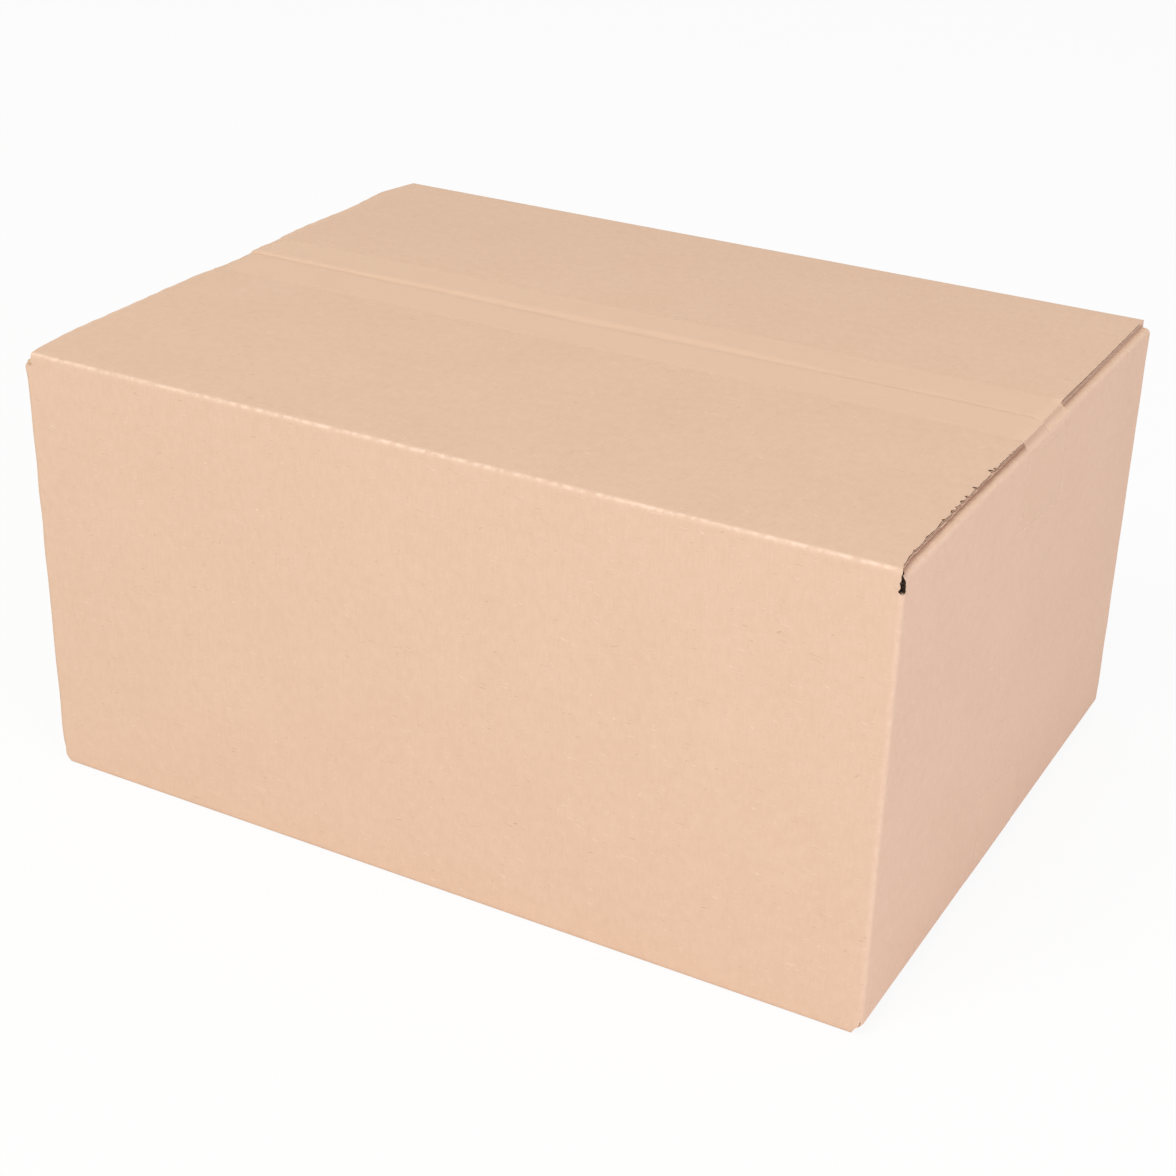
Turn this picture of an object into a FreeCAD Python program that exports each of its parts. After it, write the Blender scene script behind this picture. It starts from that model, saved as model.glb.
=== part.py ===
import FreeCAD, Part
import math
import os

# A closed shipping box of single-wall corrugated board, taped along its top and bottom seams.
# Sizes are in millimetres. X runs along the long sides, Y from front to back and Z up.
# The blank is cut, slotted, creased, folded and glued as one sheet, so it is one solid.

# Outer size of the box, over its folds
box_length = 400.0
box_width = 302.0
box_height = 202.0

# Corrugated board: the facing paper on each side, and how deep a cut edge lies open between them
board = 3.0
liner = 0.4
open_flute = 1.6
crease_radius = 0.4
fold_radius = board + crease_radius

# Slots between the flaps, measured down or up from the folds
top_slot = 10.0
bottom_slot = 7.5
slot_gap = 0.4

# Major flaps: where their seams lie from the middle of the width, and how they stand
top_seam_offset = 7.0
bottom_seam_offset = -3.5
seam_gap = 1.0
front_flap_rise = 0.6
rear_flap_rise = 1.6

# Cut ends of the major flaps, measured from the faces of the end panels
left_overhang = 1.2
front_right_inset = 1.5
rear_right_inset = 4.0
bottom_end_inset = 1.0

# Minor flaps, folded in first from the end panels
minor_flap = 148.0
lap_gap = 0.25

# Glue tab inside the left rear corner
tab_width = 35.0
tab_taper = 6.0

# Packing tape
tape_width = 50.0
tape_thickness = 0.06
tape_bridge = 3.0
top_tape_offset = 6.5
bottom_tape_offset = -3.5
top_tail = 41.0
bottom_tail = 41.0
top_tail_slant = 7.0
bottom_tail_slant = -6.0
overhang_run = 6.5

X_AXIS = FreeCAD.Vector(1, 0, 0)
Y_AXIS = FreeCAD.Vector(0, 1, 0)
Z_AXIS = FreeCAD.Vector(0, 0, 1)
ORIGIN = FreeCAD.Vector(0, 0, 0)

end_x = box_length / 2
side_y = box_width / 2
band_low = bottom_slot
band_high = box_height - top_slot


def block(x_low, x_high, y_low, y_high, z_low, z_high):
    corner = FreeCAD.Vector(x_low, y_low, z_low)
    return Part.makeBox(x_high - x_low, y_high - y_low, z_high - z_low, corner)


def prism(points, direction, length):
    """A flat outline of straight edges, extruded along a direction."""
    outline = Part.makePolygon(points + points[:1])
    return Part.Face(outline).extrude(direction * length)


def fold_turn(reach, rise):
    """How far a fold turns the board when its free edge stands higher than its crease."""
    return math.pi / 2 - math.asin(rise / reach)


def fold_point(radius, angle):
    """A point of a fold's arc, as depth into the box and height below the fold."""
    depth = fold_radius - radius * math.cos(angle)
    height = radius * math.sin(angle) - fold_radius
    return depth, height


def flap_height(depth, reach, rise):
    """Height of a flap's outer face over its fold's top line, at a depth into the box."""
    turn = fold_turn(reach, rise)
    start_depth, start_height = fold_point(fold_radius, turn)
    return start_height + (depth - start_depth) / math.tan(turn)


def flap_section(cut_z, fold_z, reach, rise, inset):
    """Section of panel, fold and flap in the YZ plane, its faces drawn in by an inset."""
    turn = fold_turn(reach, rise)
    start_depth, _ = fold_point(fold_radius, turn)
    run = (reach - start_depth) / math.sin(turn)
    along = FreeCAD.Vector(0, math.sin(turn), math.cos(turn)) * run

    def arc_points(radius):
        spots = [fold_point(radius, turn * share) for share in (0, 0.5, 1)]
        return [FreeCAD.Vector(0, depth, fold_z + height) for depth, height in spots]

    outer = arc_points(fold_radius - inset)
    inner = arc_points(fold_radius - board + inset)
    foot_outer = FreeCAD.Vector(0, inset, cut_z)
    foot_inner = FreeCAD.Vector(0, board - inset, cut_z)
    edges = [
        Part.LineSegment(foot_outer, outer[0]),
        Part.Arc(*outer),
        Part.LineSegment(outer[2], outer[2] + along),
        Part.LineSegment(outer[2] + along, inner[2] + along),
        Part.LineSegment(inner[2] + along, inner[2]),
        Part.Arc(*reversed(inner)),
        Part.LineSegment(inner[0], foot_inner),
        Part.LineSegment(foot_inner, foot_outer),
    ]
    return Part.Face(Part.Wire([edge.toShape() for edge in edges]))


def flap_strip(x_low, x_high, cut_z, fold_z, reach, rise=0.0):
    """Panel strip between two slots, with its fold and flap, outer face on the XZ plane.

    Its two cut ends run along the flutes, so they lie open between the facing papers."""
    section = flap_section(cut_z, fold_z, reach, rise, 0.0)
    section.translate(X_AXIS * x_low)
    strip = section.extrude(X_AXIS * (x_high - x_low))
    for x_start in (x_low, x_high - open_flute):
        core = flap_section(cut_z, fold_z, reach, rise, liner)
        core.translate(X_AXIS * x_start)
        strip = strip.cut(core.extrude(X_AXIS * open_flute))
    return strip


def turn_upside_down(shape):
    return shape.mirror(Z_AXIS * (box_height / 2), Z_AXIS)


def place_front(shape):
    shape.translate(Y_AXIS * -side_y)
    return shape


def place_rear(shape):
    shape.rotate(ORIGIN, Z_AXIS, 180)
    shape.translate(Y_AXIS * side_y)
    return shape


def place_right(shape):
    shape.rotate(ORIGIN, Z_AXIS, 90)
    shape.translate(X_AXIS * end_x)
    return shape


def place_left(shape):
    shape.rotate(ORIGIN, Z_AXIS, -90)
    shape.translate(X_AXIS * -end_x)
    return shape


def major_flaps():
    """The four long flaps, with the strips of the front and rear panels that carry them."""
    front_reach = side_y + top_seam_offset - seam_gap / 2
    rear_reach = side_y - top_seam_offset - seam_gap / 2
    front = flap_strip(-end_x - left_overhang, end_x - front_right_inset,
                       band_high, box_height, front_reach, front_flap_rise)
    rear = flap_strip(-end_x + rear_right_inset, end_x + left_overhang,
                      band_high, box_height, rear_reach, rear_flap_rise)

    low_start = box_height - band_low
    low_front_reach = side_y + bottom_seam_offset - seam_gap / 2
    low_rear_reach = side_y - bottom_seam_offset - seam_gap / 2
    low_end = end_x - bottom_end_inset
    low_front = flap_strip(-low_end, low_end, low_start, box_height, low_front_reach)
    low_rear = flap_strip(-low_end, low_end, low_start, box_height, low_rear_reach)
    return [
        place_front(front),
        place_rear(rear),
        place_front(turn_upside_down(low_front)),
        place_rear(turn_upside_down(low_rear)),
    ]


def minor_flaps():
    """The four short flaps under the long ones, with the end panels' strips."""
    half_width = side_y - board - slot_gap
    fold_z = box_height - board - lap_gap
    strips = []
    for place in (place_right, place_left):
        top = flap_strip(-half_width, half_width, band_high, fold_z, minor_flap)
        low = flap_strip(-half_width, half_width, box_height - band_low, fold_z, minor_flap)
        strips.append(place(top))
        strips.append(place(turn_upside_down(low)))
    return strips


def upright_fold(centre_x, centre_y, start_angle, z_low, z_high):
    """A quarter of a ring of board, where two panels meet."""
    centre = FreeCAD.Vector(centre_x, centre_y, z_low)
    height = z_high - z_low
    outer = Part.makeCylinder(fold_radius, height, centre, Z_AXIS, 90)
    inner = Part.makeCylinder(crease_radius, height, centre, Z_AXIS, 90)
    ring = outer.cut(inner)
    ring.rotate(centre, Z_AXIS, start_angle)
    return ring


def panel_band():
    """The four panels between the slots, with their three upright folds."""
    fold_x = end_x - fold_radius
    fold_y = side_y - fold_radius
    joint_fold_y = fold_y - board
    front = block(-fold_x, fold_x, -side_y, -side_y + board, band_low, band_high)
    right = block(end_x - board, end_x, -fold_y, fold_y, band_low, band_high)
    rear = block(-end_x - left_overhang, fold_x, side_y - board, side_y, band_low, band_high)
    left = block(-end_x, -end_x + board, -fold_y, joint_fold_y, band_low, band_high)
    raw_edge = block(-end_x - left_overhang, -end_x - left_overhang + open_flute,
                     side_y - board + liner, side_y - liner, band_low, band_high)
    return [
        front,
        right,
        rear.cut(raw_edge),
        left,
        upright_fold(-fold_x, -fold_y, 180, band_low, band_high),
        upright_fold(fold_x, -fold_y, 270, band_low, band_high),
        upright_fold(fold_x, fold_y, 0, band_low, band_high),
        upright_fold(-fold_x, joint_fold_y, 90, band_low, band_high),
    ]


def glue_tab():
    """The tab of the left end panel, glued flat against the inside of the rear panel."""
    x_low = -end_x + fold_radius
    x_high = -end_x + tab_width
    y_face = side_y - board
    points = [
        FreeCAD.Vector(x_low, y_face - board, band_low),
        FreeCAD.Vector(x_high, y_face - board, band_low + tab_taper),
        FreeCAD.Vector(x_high, y_face - board, band_high - tab_taper),
        FreeCAD.Vector(x_low, y_face - board, band_high),
    ]
    return prism(points, Y_AXIS, board)


def box_blank():
    pieces = panel_band() + [glue_tab()] + major_flaps() + minor_flaps()
    blank = pieces[0].fuse(pieces[1:]).removeSplitter()
    return blank.Solids[0] if len(blank.Solids) == 1 else blank


def end_slope(inset, corner_z, over_z):
    """Film pulled straight from a flap's corner to the end panel's fold, as (beyond panel, z)."""
    centre_z = box_height - board - lap_gap - fold_radius
    across = fold_radius - inset
    up = corner_z - centre_z
    angle = math.atan2(up, across) - math.acos(fold_radius / math.hypot(across, up))
    beyond = (fold_radius - (over_z - centre_z) * math.sin(angle)) / math.cos(angle) - fold_radius
    touch_z = centre_z + fold_radius * (1 - math.cos(angle)) / math.sin(angle)
    return [(beyond, over_z), (0.0, touch_z)]


def tape_shell(surface, right_side, left_side, centre_y, tail, slant):
    """Film over a taped face and down both ends.

    surface holds the points (y, z) of the face under the film, and each side the points
    (distance beyond the end panel, z) down that end. The film is what a body one film
    thicker has outside the body that carries it."""
    y_low = centre_y - tape_width / 2
    y_high = centre_y + tape_width / 2
    floor = box_height - tail - 2 * abs(slant)

    def body(skin):
        roof_points = [(y_low, floor)] + [(y, z + skin) for y, z in surface] + [(y_high, floor)]
        roof = prism([FreeCAD.Vector(-box_length, y, z) for y, z in roof_points],
                     X_AXIS, 2 * box_length)
        right = [FreeCAD.Vector(end_x + out + skin, -box_width, z) for out, z in right_side]
        left = [FreeCAD.Vector(-end_x - out - skin, -box_width, z) for out, z in left_side]
        low_right = FreeCAD.Vector(right[-1].x, -box_width, floor)
        low_left = FreeCAD.Vector(left[-1].x, -box_width, floor)
        outline = right + [low_right, low_left] + left[::-1]
        return roof.common(prism(outline, Y_AXIS, 2 * box_width))

    tail_points = [
        FreeCAD.Vector(-box_length, y_low, box_height - tail + slant / 2),
        FreeCAD.Vector(-box_length, y_high, box_height - tail - slant / 2),
        FreeCAD.Vector(-box_length, y_high, 2 * box_height),
        FreeCAD.Vector(-box_length, y_low, 2 * box_height),
    ]
    window = prism(tail_points, X_AXIS, 2 * box_length)
    film = body(tape_thickness).cut(body(0.0)).common(window)
    return film.Solids[0] if len(film.Solids) == 1 else film


def top_tape():
    front_reach = side_y + top_seam_offset - seam_gap / 2
    rear_reach = side_y - top_seam_offset - seam_gap / 2

    def front_z(y):
        return box_height + flap_height(side_y + y, front_reach, front_flap_rise)

    def rear_z(y):
        return box_height + flap_height(side_y - y, rear_reach, rear_flap_rise)

    y_low = top_tape_offset - tape_width / 2
    y_high = top_tape_offset + tape_width / 2
    lift_y = top_seam_offset - seam_gap / 2 - tape_bridge
    land_y = top_seam_offset + seam_gap / 2
    surface = [(y_low, front_z(y_low)), (lift_y, front_z(lift_y)),
               (land_y, rear_z(land_y)), (y_high, rear_z(y_high))]
    over_z = 2 * tape_thickness + max(z for _, z in surface)
    right_side = end_slope(front_right_inset, front_z(top_seam_offset), over_z)
    left_side = [(left_overhang, over_z), (left_overhang, box_height - board),
                 (0.0, box_height - board - overhang_run)]
    return tape_shell(surface, right_side, left_side, top_tape_offset, top_tail, top_tail_slant)


def bottom_tape():
    y_low = bottom_tape_offset - tape_width / 2
    y_high = bottom_tape_offset + tape_width / 2
    surface = [(y_low, box_height), (y_high, box_height)]
    side = end_slope(bottom_end_inset, box_height, box_height + 2 * tape_thickness)
    film = tape_shell(surface, side, side, bottom_tape_offset, bottom_tail, bottom_tail_slant)
    return turn_upside_down(film)


def stand_on_origin(shapes):
    """Moves every piece so that the middle of the whole box's underside is the origin."""
    whole = FreeCAD.BoundBox()
    for shape in shapes.values():
        whole.add(shape.BoundBox)
    shift = FreeCAD.Vector(-(whole.XMin + whole.XMax) / 2, -(whole.YMin + whole.YMax) / 2, -whole.ZMin)
    for shape in shapes.values():
        shape.translate(shift)


def main():
    os.makedirs("parts", exist_ok=True)
    shapes = {"box_blank": box_blank(), "top_tape": top_tape(), "bottom_tape": bottom_tape()}
    stand_on_origin(shapes)
    for name, shape in shapes.items():
        shape.exportStep(f"parts/{name}.step")
        bounds = shape.BoundBox
        print(name, "solids", len(shape.Solids), "valid", shape.isValid(), "volume", round(shape.Volume, 1))
        print("  from", round(bounds.XMin, 2), round(bounds.YMin, 2), round(bounds.ZMin, 2),
              "to", round(bounds.XMax, 2), round(bounds.YMax, 2), round(bounds.ZMax, 2))


main()
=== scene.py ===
# %% [markdown]
# # A closed cardboard box
# One sheet of corrugated board is folded into a box, and clear tape holds its long flaps shut.
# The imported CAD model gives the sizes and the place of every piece. This lesson dresses it:
# it builds the same sheet with its creases, torn edges and flutes, lays the tape over it,
# and gives both their finish.

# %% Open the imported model
import math

import bmesh
import bpy
import numpy as np
from mathutils import Matrix, Vector


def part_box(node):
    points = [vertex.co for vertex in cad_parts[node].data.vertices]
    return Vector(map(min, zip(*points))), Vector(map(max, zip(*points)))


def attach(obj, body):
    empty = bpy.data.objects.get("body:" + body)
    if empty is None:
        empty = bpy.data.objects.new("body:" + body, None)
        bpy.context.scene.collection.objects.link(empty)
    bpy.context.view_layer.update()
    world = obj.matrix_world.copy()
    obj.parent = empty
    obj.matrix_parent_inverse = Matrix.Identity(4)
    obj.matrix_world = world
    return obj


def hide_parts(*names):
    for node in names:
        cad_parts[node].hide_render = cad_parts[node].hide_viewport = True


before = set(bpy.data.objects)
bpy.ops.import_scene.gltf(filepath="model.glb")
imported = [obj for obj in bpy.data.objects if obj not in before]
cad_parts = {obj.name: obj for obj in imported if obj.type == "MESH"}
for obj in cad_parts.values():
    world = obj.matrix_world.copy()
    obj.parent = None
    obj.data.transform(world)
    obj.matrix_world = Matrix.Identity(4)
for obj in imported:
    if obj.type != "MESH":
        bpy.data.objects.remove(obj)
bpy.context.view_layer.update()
print("CAD nodes:", ", ".join(sorted(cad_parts)))

# %% [markdown]
# ## The camera
# The picture was taken from the front right and from above, with a short telephoto lens. The
# camera is set by its place, its compass direction, its downward tilt and a slight roll.
# A matrix made from three directions is exact, where a tracking constraint would drop the roll.

# %% Set up the camera
CAMERA_PLACE = Vector((0.4263, -0.7993, 0.5334))
CAMERA_AZIMUTH = math.radians(28.41)
CAMERA_TILT = math.radians(26.72)
CAMERA_ROLL = math.radians(1.45)

backward = Vector((math.sin(CAMERA_AZIMUTH) * math.cos(CAMERA_TILT),
                   -math.cos(CAMERA_AZIMUTH) * math.cos(CAMERA_TILT),
                   math.sin(CAMERA_TILT)))
level = Vector((math.cos(CAMERA_AZIMUTH), math.sin(CAMERA_AZIMUTH), 0))
upright = backward.cross(level)
rightward = level * math.cos(CAMERA_ROLL) + upright * math.sin(CAMERA_ROLL)
upward = backward.cross(rightward)

camera_data = bpy.data.cameras.new("camera")
camera_data.sensor_width = 36
camera_data.lens = 66.77
camera = bpy.data.objects.new("camera", camera_data)
bpy.context.scene.collection.objects.link(camera)
turn = Matrix((rightward, upward, backward)).transposed().to_4x4()
camera.matrix_world = Matrix.Translation(CAMERA_PLACE) @ turn
bpy.context.scene.camera = camera
bpy.context.scene.view_settings.view_transform = "Standard"
print("camera", round((CAMERA_PLACE - Vector((0, 0, 0.1))).length, 3), "m from the box")

# %% [markdown]
# ## Maths on sockets
# A shader graph is arithmetic, so it reads best as arithmetic. This class holds one socket, and
# its operators add the Math nodes. Every other node comes from its one method, `node`.

# %% Wrap a socket
class Wire:
    """A socket of a material. Sums, differences and products of wires add Math nodes."""

    def __init__(self, tree, socket=None):
        self.tree = tree
        self.socket = socket

    def node(self, kind, settings=None, sockets=None, out=0):
        made = self.tree.nodes.new(kind)
        for name, value in (settings or {}).items():
            if name == "stops":
                ramp = made.color_ramp.elements
                while len(ramp) < len(value):
                    ramp.new(0.5)
                for element, (position, colour) in zip(ramp, value):
                    element.position = position
                    element.color = colour
            else:
                setattr(made, name, value)
        for name, value in (sockets or {}).items():
            if isinstance(value, Wire):
                self.tree.links.new(value.socket, made.inputs[name])
            else:
                made.inputs[name].default_value = value
        return Wire(self.tree, made.outputs[out])

    def maths(self, operation, first, second=0.0, third=0.0):
        return self.node("ShaderNodeMath", {"operation": operation}, {0: first, 1: second, 2: third})

    def __add__(self, other):
        return self.maths("ADD", self, other)

    __radd__ = __add__

    def __sub__(self, other):
        return self.maths("SUBTRACT", self, other)

    def __rsub__(self, other):
        return self.maths("SUBTRACT", other, self)

    def __mul__(self, other):
        return self.maths("MULTIPLY", self, other)

    __rmul__ = __mul__

    def between(self, low, high):
        """0 below low, 1 above high, and a smooth step from one to the other."""
        return self.node("ShaderNodeMapRange", {"interpolation_type": "SMOOTHSTEP"},
                         {"Value": self, "From Min": low, "From Max": high})

    def blend(self, first, second):
        """The first colour where this wire is 0, and the second where it is 1."""
        return self.node("ShaderNodeMix", {"data_type": "RGBA"},
                         {"Factor": self, 6: first, 7: second}, out=2)

    def stretch(self, vector, factors):
        return self.node("ShaderNodeVectorMath", {"operation": "MULTIPLY"}, {0: vector, 1: factors})


def new_material(name):
    """An empty material with its output node, and a wire to build on."""
    material = bpy.data.materials.new(name)
    material.use_nodes = True
    material.node_tree.nodes.clear()
    output = material.node_tree.nodes.new("ShaderNodeOutputMaterial")
    return material, output, Wire(material.node_tree)


print("the socket class is ready")

# %% [markdown]
# ## The floor and the light
# The box stands on white in even studio light. The floor is a pale surface that keeps the box's
# shadow, and it shows nearly white to the camera. The lamps are large, so that nothing is hard:
# one in front and above lights the front and the folds, one at the right is weaker, and the
# surroundings fill the rest. Their slight tints follow the cast of the studio's light.

# %% Lay the floor
FLOOR_WHITENESS = 0.9

floor_mesh = bpy.data.meshes.new("studio_floor")
reach = 6.0
floor_mesh.from_pydata([(-reach, -reach, 0), (reach, -reach, 0), (reach, reach, 0), (-reach, reach, 0)],
                       [], [(0, 1, 2, 3)])
studio_floor = bpy.data.objects.new("studio_floor", floor_mesh)
bpy.context.scene.collection.objects.link(studio_floor)

floor_material, floor_output, wire = new_material("pale_floor")
path = wire.node("ShaderNodeLightPath")
seen = path.node("ShaderNodeLightPath", out=0)
seen = path.maths("MAXIMUM", seen, path.node("ShaderNodeLightPath", out=3))
seen = path.maths("MAXIMUM", seen, path.node("ShaderNodeLightPath", out=6))
lit = wire.node("ShaderNodeBsdfDiffuse", sockets={"Color": (0.92, 0.92, 0.92, 1)})
white = wire.node("ShaderNodeEmission", sockets={"Color": (1, 1, 1, 1), "Strength": 1.0})
shown = wire.node("ShaderNodeMixShader", sockets={"Fac": seen * FLOOR_WHITENESS, 1: lit, 2: white})
floor_material.node_tree.links.new(shown.socket, floor_output.inputs["Surface"])
floor_mesh.materials.append(floor_material)
print("floor", 2 * reach, "m wide")

# %% Light the studio
SURROUND = 0.62

world = bpy.data.worlds.new("studio")
bpy.context.scene.world = world
world.use_nodes = True
world.node_tree.nodes.clear()
wire = Wire(world.node_tree)
seen = wire.node("ShaderNodeLightPath", out=0)
seen = wire.maths("MAXIMUM", seen, wire.node("ShaderNodeLightPath", out=3))
seen = wire.maths("MAXIMUM", seen, wire.node("ShaderNodeLightPath", out=6))
strength = seen * (1 - SURROUND) + SURROUND
sky = wire.node("ShaderNodeBackground", sockets={"Color": (1, 0.985, 0.99, 1), "Strength": strength})
world_output = world.node_tree.nodes.new("ShaderNodeOutputWorld")
world.node_tree.links.new(sky.socket, world_output.inputs["Surface"])


def area_lamp(name, place, size, power, colour):
    """A large square lamp that faces the middle of the box."""
    data = bpy.data.lights.new(name, "AREA")
    data.size = size
    data.energy = power
    data.color = colour
    lamp = bpy.data.objects.new(name, data)
    lamp.location = place
    lamp.rotation_mode = "QUATERNION"
    lamp.rotation_quaternion = (Vector(place) - Vector((0, 0, 0.1))).to_track_quat("Z", "Y")
    bpy.context.scene.collection.objects.link(lamp)
    return lamp


area_lamp("front_lamp", (-0.3, -1.75, 2.35), 1.2, 28.5, (0.99, 1.01, 0.92))
area_lamp("right_lamp", (2.4, -1.3, 1.2), 1.2, 21.5, (1.0, 0.96, 1.2))

# %% [markdown]
# ## The sheet in numbers
# On the real box every panel and flap is one sheet, creased and folded. So one function can
# say where any point of the sheet lies: `u` runs along a side of the box, `v` runs up the
# flutes from the lower flap over the panel into the upper flap, and `depth` goes through the
# board. Bows, crushed creases and lifted edges are added once, there, and everything that is
# built from the function fits together.

# %% Sizes, in millimetres
MM = 0.001
BOARD = 3.0
LINER = 0.4
FOLD = 3.4
FLUTE_PITCH = 6.4
LAP = 3.25
HEIGHT = 202.0
SLOT_LOW = LAP + FOLD
SLOT_HIGH = 192.0
SLOT_CLOSED = HEIGHT - LAP - FOLD

sheet_low, sheet_high = (np.array(corner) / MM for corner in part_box("box_blank"))
RIGHT_X = sheet_high[0]
LEFT_X = RIGHT_X - 400.0
FRONT_Y = sheet_low[1]
REAR_Y = sheet_high[1]
BASE_Z = sheet_low[2]
MIDDLE_X = (LEFT_X + RIGHT_X) / 2
SEAM_Y = 7.0
SEAM_GAP = 1.0
FRONT_REACH = SEAM_Y - SEAM_GAP / 2 - FRONT_Y
REAR_REACH = REAR_Y - SEAM_Y - SEAM_GAP / 2
print("panels at x", round(LEFT_X, 1), round(RIGHT_X, 1), "and y", round(FRONT_Y, 1), round(REAR_Y, 1))


# %% Smooth and ragged unevenness
def smooth_step(value, low, high):
    share = np.clip((value - low) / (high - low), 0.0, 1.0)
    return share * share * (3 - 2 * share)


def hill(value, centre, width):
    return np.exp(-((value - centre) / width) ** 2)


def ripple(a, b, length, seed):
    """Slow unevenness over a face, between about -1 and 1, always the same for one seed."""
    draw = np.random.default_rng(seed)
    total = 0.0
    for _ in range(8):
        heading = draw.uniform(0, 2 * np.pi)
        wave = 2 * np.pi / (length * draw.uniform(0.6, 1.7))
        phase = draw.uniform(0, 2 * np.pi)
        total = total + np.sin((a * np.cos(heading) + b * np.sin(heading)) * wave + phase)
    return total / 3.2


def ragged(along, spacing, seed):
    """Uneven like torn paper along an edge, between -1 and 1, with straight bits between knots."""
    draw = np.random.default_rng(seed)
    knots = np.arange(-400.0, 400.0, spacing)
    return np.interp(along, knots + draw.uniform(-0.4, 0.4, len(knots)) * spacing,
                     draw.uniform(-1, 1, len(knots)))


print("ripple of the front panel", round(float(ripple(0.0, 0.0, 150, 1)), 3))


# %% The four sides
class Side:
    """One panel with its upper and lower flap, in its own directions."""

    def __init__(self, name, centre, along, outward, half, start, lap):
        self.name = name
        self.centre = np.array([centre[0], centre[1], 0.0])
        self.along = np.array([along[0], along[1], 0.0])
        self.outward = np.array([outward[0], outward[1], 0.0])
        self.half = half
        self.start = start
        self.top = HEIGHT - lap
        self.low = lap
        self.flat = {-1: half - FOLD, 1: half - FOLD}


HALF_FOLD = FOLD * np.pi / 4
FRONT_RUN = 200.0 - FOLD + HALF_FOLD
END_RUN = 151.0 - FOLD + HALF_FOLD
middle_y = (FRONT_Y + REAR_Y) / 2
front = Side("front", (MIDDLE_X, FRONT_Y), (1, 0), (0, -1), 200.0, 0.0, 0.0)
right = Side("right", (RIGHT_X, middle_y), (0, 1), (1, 0), 151.0, FRONT_RUN + END_RUN, LAP)
rear = Side("rear", (MIDDLE_X, REAR_Y), (-1, 0), (0, 1), 200.0, 2 * (FRONT_RUN + END_RUN), 0.0)
left = Side("left", (LEFT_X, middle_y), (0, -1), (-1, 0), 151.0, -FRONT_RUN - END_RUN, LAP)
left.flat[-1] = 151.0 - FOLD - BOARD
sides = {side.name: side for side in (front, right, rear, left)}
print("sides:", ", ".join(sides))


# %% Fold the section
def section(side, v):
    """How far in, how high, and which way the face looks, at v along the flutes."""
    top_start = side.top - FOLD
    low_start = side.low + FOLD
    up = np.clip((v - top_start) / FOLD, 0, np.pi / 2)
    down = np.clip((low_start - v) / FOLD, 0, np.pi / 2)
    past_top = np.maximum(v - top_start - FOLD * np.pi / 2, 0)
    past_low = np.maximum(low_start - v - FOLD * np.pi / 2, 0)
    into = FOLD * (2 - np.cos(up) - np.cos(down)) + past_top + past_low
    height = np.clip(v, low_start, top_start) + FOLD * (np.sin(up) - np.sin(down))
    return into, height, np.cos(up) * np.cos(down), np.sin(up) - np.sin(down)


def flap_depth(side, v):
    """Distance from the panel's face into the box along the upper flap, 0 on the panel."""
    return np.maximum(v - (side.top - FOLD) - FOLD * (np.pi / 2 - 1), 0) * (v > side.top)


def top_v(side, depth_in):
    """The v of the point of the upper flap at a distance in from the panel's face."""
    return depth_in + side.top - FOLD + FOLD * (np.pi / 2 - 1)


print("top flap of the front ends at v", round(float(top_v(front, FRONT_REACH)), 1))

# %% [markdown]
# ## What hands and shipping did to the board
# Real board isn't flat. The panels bow a little, the rear upper flap stands higher than the
# front one along the seam and its edge is rolled over where the tape pulls it down, and the
# tape presses the flap ends against the end panels.


# %% Bows, rises and crushed places
TAPE_LOW_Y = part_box("top_tape")[0][1] / MM
TAPE_HIGH_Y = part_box("top_tape")[1][1] / MM


def seam_rise(x):
    """Heights of the front and the rear flap over their folds, at the seam."""
    run = x - LEFT_X
    front_rise = 0.3 + 0.45 * smooth_step(run, 250, 330)
    rear_rise = 1.4 - 0.55 * smooth_step(run, 250, 330)
    return front_rise, rear_rise


def rolled_edge(x):
    """How far the rear flap's edge is rolled down under the tape, and over what width."""
    run = x - LEFT_X
    front_rise, rear_rise = seam_rise(x)
    share = 0.75 + 0.25 * smooth_step(run, 40, 110)
    drop = share * (rear_rise - front_rise) + 0.12 * ripple(run, 0.0, 25, 14)
    return drop, np.interp(run, [30, 90, 170, 240, 300, 340], [1.6, 3.0, 5.5, 5.5, 3.2, 1.6])


def swell(side, u, v):
    """Distance that the face stands proud of the flat, folded sheet."""
    inside = smooth_step(np.minimum(side.half - np.abs(u), 60.0), 4.0, 60.0)
    on_panel = smooth_step(v, SLOT_LOW, 60) * (1 - smooth_step(v, HEIGHT - 60, SLOT_HIGH))
    total = 0.45 * ripple(u + side.start, v, 170, 3) * inside * on_panel
    total = total + 0.12 * ripple(u + side.start, v, 45, 4) * inside * on_panel
    if side.name in ("front", "rear"):
        x = MIDDLE_X + side.along[0] * u
        depth_in = flap_depth(side, v)
        front_rise, rear_rise = seam_rise(x)
        if side.name == "front":
            rise, reach = front_rise, FRONT_REACH
        else:
            rise, reach = rear_rise, REAR_REACH
        lifted = rise * depth_in / reach
        lifted = lifted + 0.25 * ripple(x, depth_in, 130, 7) * smooth_step(depth_in, 5, 60)
        if side.name == "rear":
            drop, width = rolled_edge(x)
            lifted = lifted - drop * smooth_step(depth_in, reach - width, reach)
        total = total + lifted * (v > side.top)
    return total


def pressed(side, u, v, cut):
    """How far the tape presses the outer face of a flap's end into the board."""
    if side.name not in ("front", "rear"):
        return np.zeros_like(u + v)
    depth_in = flap_depth(side, v)
    y = side.centre[1] - side.outward[1] * depth_in
    taped = (smooth_step(y, TAPE_LOW_Y - 1.2, TAPE_LOW_Y + 0.6)
             * (1 - smooth_step(y, TAPE_HIGH_Y - 0.6, TAPE_HIGH_Y + 1.2)))
    at_right = side.along[0] * u > 0
    return (0.5 + at_right) * taped * (v > side.top) * (1 - smooth_step(np.abs(cut) - np.abs(u), 0.0, 4.0))


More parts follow.
